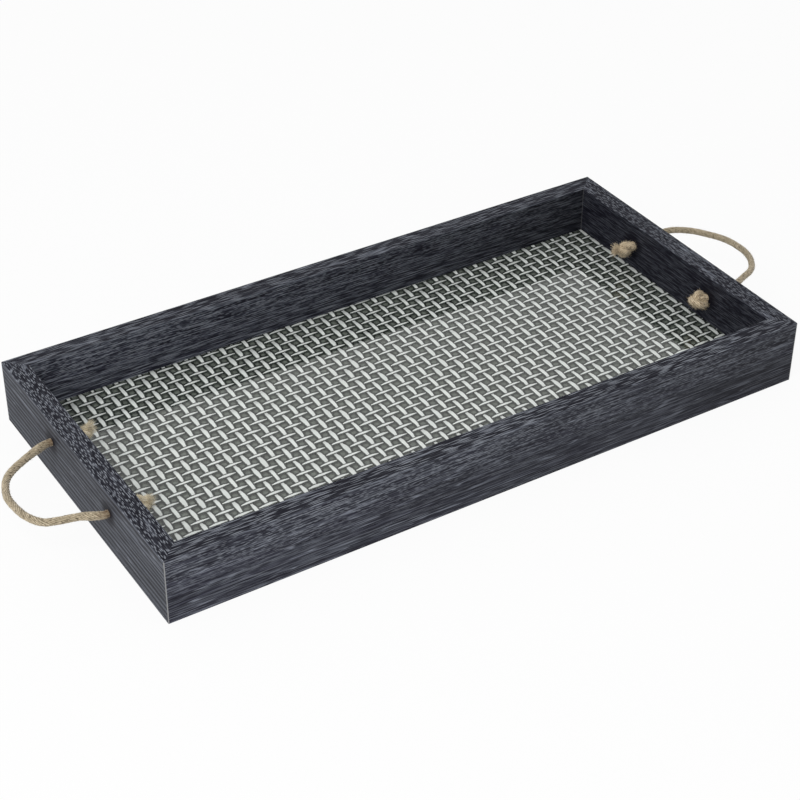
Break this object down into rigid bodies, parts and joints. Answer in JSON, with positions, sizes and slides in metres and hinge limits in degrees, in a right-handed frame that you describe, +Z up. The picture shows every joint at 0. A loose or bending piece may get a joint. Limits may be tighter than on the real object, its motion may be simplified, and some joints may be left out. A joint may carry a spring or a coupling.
{
  "type": "serving tray",
  "caption": "Rectangular serving tray: mitred dark wooden frame, clear glass floor over a woven metal insert, and knotted rope loop handles that swing at the ends.",
  "frame": {"origin": "on the table, under the middle of the wooden frame", "axes": "+X along the long side, towards the right end; +Y from the front rail to the back rail; +Z up"},
  "size_m": [0.7383, 0.305, 0.06],
  "materials": {
    "charcoal_wood": "charcoal stain, wire-brushed grain with pale limed pores",
    "clear_glass": "clear float glass, seamed edges",
    "galvanised_steel": "pale galvanised metal, darker in the crimps",
    "grey_board": "hardboard, grey paint",
    "bare_steel": "plain stamped steel",
    "jute_rope": "natural twisted jute, hairy"
  },
  "bodies": {
    "tray": {"front_rail": "charcoal_wood", "back_rail": "charcoal_wood", "left_end_rail": "charcoal_wood", "right_end_rail": "charcoal_wood", "glass_pane": "clear_glass", "woven_cross_strips": "galvanised_steel", "woven_long_wires": "galvanised_steel", "backing_board": "grey_board", "front_glazier_point_1": "bare_steel", "front_glazier_point_2": "bare_steel", "front_glazier_point_3": "bare_steel", "back_glazier_point_1": "bare_steel", "back_glazier_point_2": "bare_steel", "back_glazier_point_3": "bare_steel", "left_end_glazier_point_1": "bare_steel", "left_end_glazier_point_2": "bare_steel", "right_end_glazier_point_1": "bare_steel", "right_end_glazier_point_2": "bare_steel", "v_nail_front_left": "bare_steel", "v_nail_front_right": "bare_steel", "v_nail_back_left": "bare_steel", "v_nail_back_right": "bare_steel", "left_rope_knot_front": "jute_rope", "left_rope_knot_back": "jute_rope", "right_rope_knot_front": "jute_rope", "right_rope_knot_back": "jute_rope"},
    "left_handle": {"left_rope_loop": "jute_rope"},
    "right_handle": {"right_rope_loop": "jute_rope"}
  },
  "joints": [
    {"name": "left_handle_swing", "type": "hinge", "parent": "tray", "child": "left_handle", "pos_m": [-0.3086, 0, 0.0385], "axis": [0, 1, 0], "range_deg": [-28, 94]},
    {"name": "right_handle_swing", "type": "hinge", "parent": "tray", "child": "right_handle", "pos_m": [0.3086, 0, 0.0385], "axis": [0, -1, 0], "range_deg": [-32, 90]}
  ]
}
